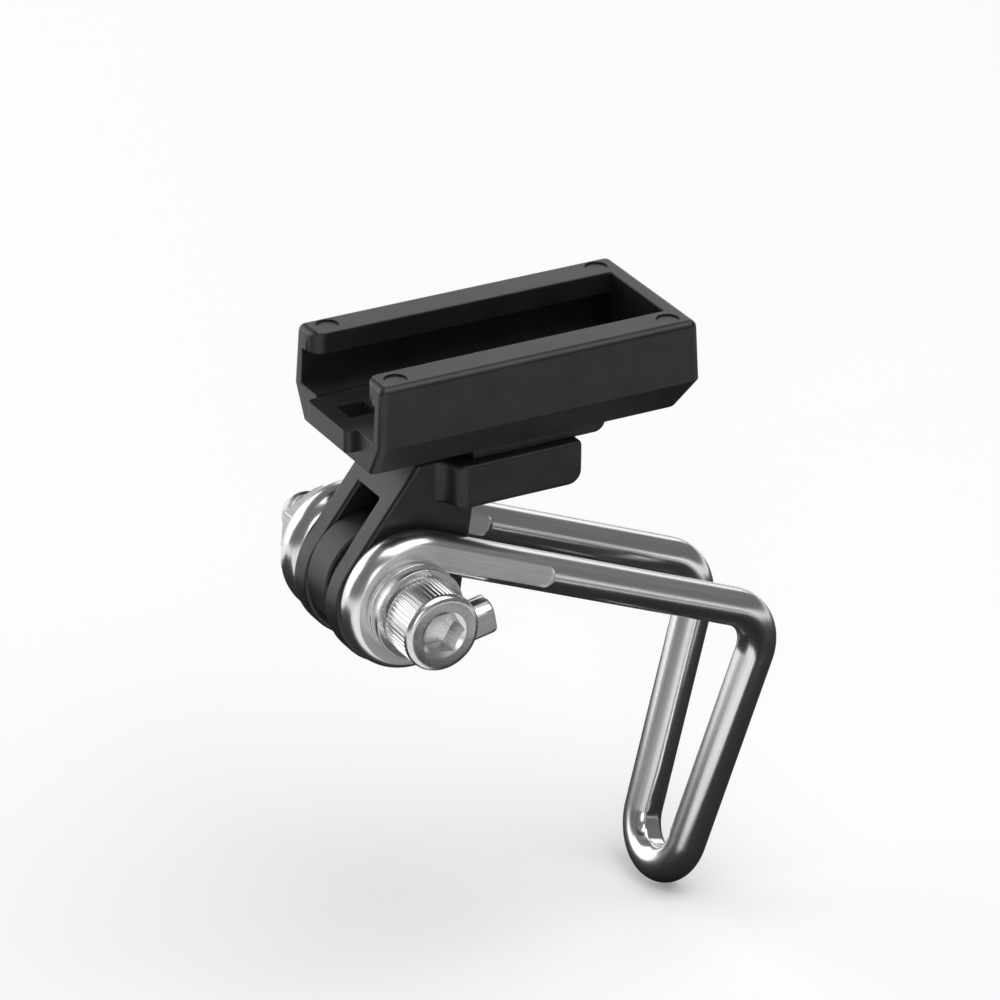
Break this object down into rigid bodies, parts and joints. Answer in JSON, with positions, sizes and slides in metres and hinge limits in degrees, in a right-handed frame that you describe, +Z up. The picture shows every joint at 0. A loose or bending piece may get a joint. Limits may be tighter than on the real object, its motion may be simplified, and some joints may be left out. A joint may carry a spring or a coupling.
{
  "type": "fork headlight mount",
  "caption": "Headlight mount for a fork crown: bent wire bracket with a bolt loop, a screw-clamped tilt joint and a lipped tray that a lamp slides into.",
  "frame": {"origin": "centre of the wire loop that goes on the fork-crown bolt", "axes": "+X forward, the way the lamp points, +Y to the rider's left, the screw-head side, +Z up with the tray level"},
  "size_m": [0.0616, 0.0382, 0.0839],
  "materials": {
    "polished_wire": "polished",
    "bright_screw": "bright",
    "washer_steel": "satin",
    "nut_steel": "satin",
    "black_moulding": "satin",
    "black_spacer": "satin",
    "dark_screw": "blackened"
  },
  "bodies": {
    "bracket": {"wire_bracket": "polished_wire", "clamp_screw": "bright_screw", "plain_washer": "washer_steel", "spring_washer": "washer_steel", "clamp_nut": "nut_steel"},
    "tilting_tray": {"tilt_arm": "black_moulding", "spacer": "black_spacer", "light_tray": "black_moulding", "tray_screws": "dark_screw"}
  },
  "joints": [
    {"name": "tilt", "type": "hinge", "parent": "bracket", "child": "tilting_tray", "pos_m": [0.0429, 0, 0.046], "axis": [0, 1, 0], "range_deg": [-25, 60]}
  ]
}
